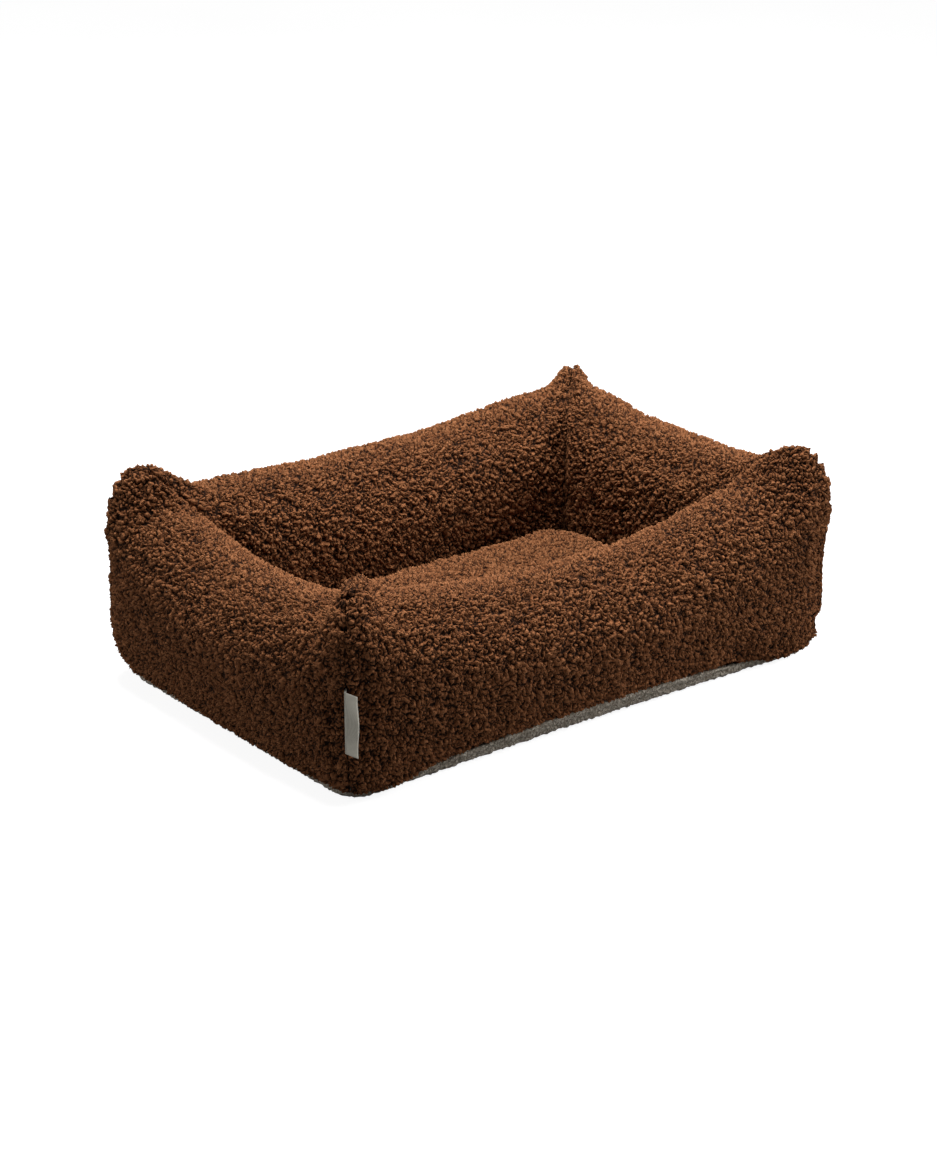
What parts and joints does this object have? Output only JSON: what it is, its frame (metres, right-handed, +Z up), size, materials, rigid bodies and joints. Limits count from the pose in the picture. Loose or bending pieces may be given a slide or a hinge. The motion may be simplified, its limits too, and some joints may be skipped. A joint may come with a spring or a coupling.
{
  "type": "pet cushion bed",
  "caption": "Rectangular bolster bed for a small dog or cat: four stuffed boucle walls with pointed corner ears on a base panel, and a loose cushion with a zipped cover in the well.",
  "frame": {"origin": "middle of the footprint, on the plane that the bed stands on", "axes": "+X along the long sides, +Y towards the back, +Z up; the label is on the front left corner"},
  "size_m": [0.6186, 0.4186, 0.2101],
  "materials": {
    "brown_boucle": "matt curly boucle pile",
    "greige_boucle": "matt curly boucle pile",
    "cotton_lining": "matt plain-weave cotton",
    "fibre_fill": "matt loose fibre",
    "zip_tape": "matt woven tape",
    "zip_coil": "satin nylon",
    "zip_metal": "satin lacquer",
    "woven_label": "matt woven tape"
  },
  "bodies": {
    "bed": {"back_wall_cover": "brown_boucle", "back_wall_fill": "fibre_fill", "back_wall_inner_bag": "cotton_lining", "back_zip_inner_coil": "zip_coil", "back_zip_inner_tape": "zip_tape", "back_zip_outer_coil": "zip_coil", "back_zip_outer_tape": "zip_tape", "back_zip_stops": "zip_metal", "base_floor_lining": "cotton_lining", "base_panel": "greige_boucle", "base_wadding": "fibre_fill", "front_wall_cover": "brown_boucle", "front_wall_fill": "fibre_fill", "front_wall_inner_bag": "cotton_lining", "front_zip_inner_coil": "zip_coil", "front_zip_inner_tape": "zip_tape", "front_zip_outer_coil": "zip_coil", "front_zip_outer_tape": "zip_tape", "front_zip_stops": "zip_metal", "left_wall_cover": "brown_boucle", "left_wall_fill": "fibre_fill", "left_wall_inner_bag": "cotton_lining", "right_wall_cover": "brown_boucle", "right_wall_fill": "fibre_fill", "right_wall_inner_bag": "cotton_lining", "side_label": "woven_label"},
    "cushion": {"cushion_cover_bottom": "greige_boucle", "cushion_cover_top": "brown_boucle", "cushion_fill": "fibre_fill", "cushion_inner_bag": "cotton_lining", "cushion_zip_inner_coil": "zip_coil", "cushion_zip_inner_tape": "zip_tape", "cushion_zip_outer_coil": "zip_coil", "cushion_zip_outer_tape": "zip_tape", "cushion_zip_stops": "zip_metal"},
    "front_zip_slider": {"front_zip_slider": "zip_metal"},
    "front_zip_pull": {"front_zip_pull": "zip_metal"},
    "back_zip_slider": {"back_zip_slider": "zip_metal"},
    "back_zip_pull": {"back_zip_pull": "zip_metal"},
    "cushion_zip_slider": {"cushion_zip_slider": "zip_metal"},
    "cushion_zip_pull": {"cushion_zip_pull": "zip_metal"}
  },
  "joints": [
    {"name": "cushion_lift", "type": "slide", "parent": "bed", "child": "cushion", "axis": [0, 0, 1], "range_m": [0, 0.25]},
    {"name": "front_zip_slide", "type": "slide", "parent": "bed", "child": "front_zip_slider", "axis": [1, 0, 0], "range_m": [0, 0.387]},
    {"name": "front_zip_pull_swing", "type": "hinge", "parent": "front_zip_slider", "child": "front_zip_pull", "pos_m": [-0.1946, -0.152, 0.00115], "axis": [0, 1, 0], "range_deg": [0, 170]},
    {"name": "back_zip_slide", "type": "slide", "parent": "bed", "child": "back_zip_slider", "axis": [1, 0, 0], "range_m": [0, 0.387]},
    {"name": "back_zip_pull_swing", "type": "hinge", "parent": "back_zip_slider", "child": "back_zip_pull", "pos_m": [-0.1946, 0.152, 0.00115], "axis": [0, 1, 0], "range_deg": [0, 170]},
    {"name": "cushion_zip_slide", "type": "slide", "parent": "cushion", "child": "cushion_zip_slider", "axis": [1, 0, 0], "range_m": [0, 0.247]},
    {"name": "cushion_zip_pull_swing", "type": "hinge", "parent": "cushion_zip_slider", "child": "cushion_zip_pull", "pos_m": [-0.1246, 0.066, 0.01045], "axis": [0, 1, 0], "range_deg": [0, 2]}
  ]
}
